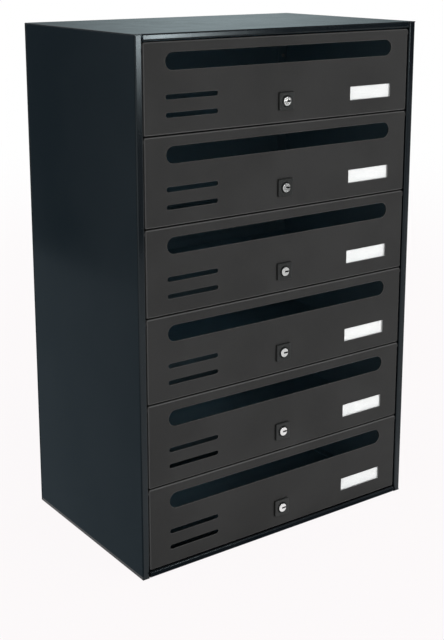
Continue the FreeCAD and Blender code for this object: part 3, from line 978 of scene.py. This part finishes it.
def make_floor(look):
    """A round floor under the mailbox."""
    mesh = bpy.data.meshes.new("floor")
    disc = bmesh.new()
    bmesh.ops.create_circle(disc, cap_ends=True, segments=96, radius=look.floor_radius)
    disc.to_mesh(mesh)
    disc.free()
    mesh.materials.append(floor_finish(look))
    floor = add_object("floor", mesh)
    floor.location.z = cad_low.z


def face(thing, place, target):
    """Puts an object at a place with its -Z side towards a target."""
    place = Vector(place)
    thing.location = place
    thing.rotation_euler = (Vector(target) - place).to_track_quat("-Z", "Y").to_euler()


def make_board(board, finish):
    """Stands a board where only reflections see it."""
    mesh = bpy.data.meshes.new(board.name)
    grid = bmesh.new()
    bmesh.ops.create_grid(grid, x_segments=1, y_segments=1, size=0.5)
    bmesh.ops.scale(grid, vec=(board.width, board.height, 1.0), verts=grid.verts)
    grid.to_mesh(mesh)
    grid.free()
    mesh.materials.append(finish)
    stand = add_object(board.name, mesh)
    face(stand, board.place, Vector(board.place) + Vector(board.facing))
    stand.visible_camera = False
    stand.visible_diffuse = False
    stand.visible_shadow = False
    stand.visible_transmission = False


def make_softbox(softbox, power):
    """Hangs a lamp that no reflection shows, turned to the middle of the mailbox."""
    lamp = bpy.data.lights.new(softbox.name, "AREA")
    lamp.shape = "RECTANGLE"
    lamp.size = softbox.width
    lamp.size_y = softbox.height
    lamp.energy = power
    stand = add_object(softbox.name, lamp)
    stand.visible_glossy = False
    face(stand, softbox.place, (cad_low + cad_high) / 2)


def round_about(azimuth, distance, height):
    """A point at a turn from straight in front, a distance from the middle and a height."""
    return Vector((math.sin(azimuth) * distance, -math.cos(azimuth) * distance, height))


def make_camera(look):
    """A camera at the photograph's angle."""
    lens = bpy.data.cameras.new("camera")
    lens.lens = look.lens
    lens.shift_y = look.shift
    camera = add_object("camera", lens)
    target = Vector((0.0, 0.0, look.aim_height))
    level = look.distance * math.cos(look.elevation)
    rise = look.distance * math.sin(look.elevation)
    face(camera, round_about(look.azimuth, level, look.aim_height + rise), target)
    bpy.context.scene.camera = camera


class PaintCasing(bpy.types.Operator):
    """Paint the folded casing and the shelves"""

    bl_idname = "mailbox.paint_casing"
    bl_label = "Paint Casing"

    def execute(self, context):
        finish = casing_paint(context.scene.mailbox_casing)
        dress(finish, "left_side_panel", "right_side_panel", "top_panel", "base_panel")
        dress(finish, "rear_panel", "shelf")
        return {"FINISHED"}


class PaintDoors(bpy.types.Operator):
    """Powder-coat the doors"""

    bl_idname = "mailbox.paint_doors"
    bl_label = "Paint Doors"

    def execute(self, context):
        dress(door_paint(context.scene.mailbox_doors), "door")
        return {"FINISHED"}


class FinishLocks(bpy.types.Operator):
    """Finish the lock heads and the plugs"""

    bl_idname = "mailbox.finish_locks"
    bl_label = "Finish Locks"

    def execute(self, context):
        look = context.scene.mailbox_locks
        dress(lock_head(look), "lock_housing")
        dress(plug_plating(look), "lock_plug")
        return {"FINISHED"}


class FinishFixings(bpy.types.Operator):
    """Plate the rivets, clips, cams and screws, and blacken the pins"""

    bl_idname = "mailbox.finish_fixings"
    bl_label = "Finish Fixings"

    def execute(self, context):
        look = context.scene.mailbox_fixings
        dress(zinc_plating(look), "rear_rivets", "lock_clip", "lock_cam", "cam_screw")
        dress(blackened_steel(look), "hinge_pins")
        return {"FINISHED"}


class FinishCards(bpy.types.Operator):
    """Finish the blank cards and their clear holders"""

    bl_idname = "mailbox.finish_cards"
    bl_label = "Finish Cards"

    def execute(self, context):
        look = context.scene.mailbox_cards
        dress(card_paper(look), "name_card")
        dress(clear_plastic(look), "card_holder")
        return {"FINISHED"}


class BuildStage(bpy.types.Operator):
    """Lay the floor and set the lights and the camera"""

    bl_idname = "mailbox.build_stage"
    bl_label = "Build Stage"

    def execute(self, context):
        look = context.scene.mailbox_stage
        context.scene.view_settings.view_transform = "Standard"
        light_world(look)
        make_floor(look)
        make_softbox(KEY_SOFTBOX, look.key_power)
        make_softbox(TOP_SOFTBOX, look.top_power)
        make_board(LIT_BOARD, lit_cloth(LIT_BOARD, look.highlight))
        for board in BOARDS:
            make_board(board, board_cloth(board))
        make_camera(look)
        return {"FINISHED"}


LOOKS = {
    "mailbox_casing": CasingLook,
    "mailbox_doors": DoorLook,
    "mailbox_locks": LockLook,
    "mailbox_fixings": FixingLook,
    "mailbox_cards": CardLook,
    "mailbox_stage": StageLook,
}
OPERATORS = (PaintCasing, PaintDoors, FinishLocks, FinishFixings, FinishCards, BuildStage)


class MailboxPanel(bpy.types.Panel):
    """Steps that dress the mailbox, with their settings"""

    bl_idname = "VIEW3D_PT_mailbox"
    bl_label = "Cluster Mailbox"
    bl_space_type = "VIEW_3D"
    bl_region_type = "UI"
    bl_category = "Mailbox"

    def draw(self, context):
        for name, step in zip(LOOKS, OPERATORS):
            look = getattr(context.scene, name)
            box = self.layout.box()
            box.operator(step.bl_idname)
            for setting in look.bl_rna.properties.keys():
                if setting not in ("rna_type", "name"):
                    box.prop(look, setting)


def register():
    """Registers the classes and hangs the settings on the scene."""
    for group in (*LOOKS.values(), *OPERATORS, MailboxPanel):
        bpy.utils.register_class(group)
    for name, look in LOOKS.items():
        setattr(bpy.types.Scene, name, PointerProperty(type=look))


def unregister():
    """Takes the settings and the classes away again."""
    for name in LOOKS:
        delattr(bpy.types.Scene, name)
    for group in (MailboxPanel, *OPERATORS, *LOOKS.values()):
        bpy.utils.unregister_class(group)


def main():
    """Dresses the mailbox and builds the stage."""
    register()
    bpy.ops.mailbox.paint_casing()
    bpy.ops.mailbox.paint_doors()
    bpy.ops.mailbox.finish_locks()
    bpy.ops.mailbox.finish_fixings()
    bpy.ops.mailbox.finish_cards()
    bpy.ops.mailbox.build_stage()


if __name__ == "__main__":
    main()
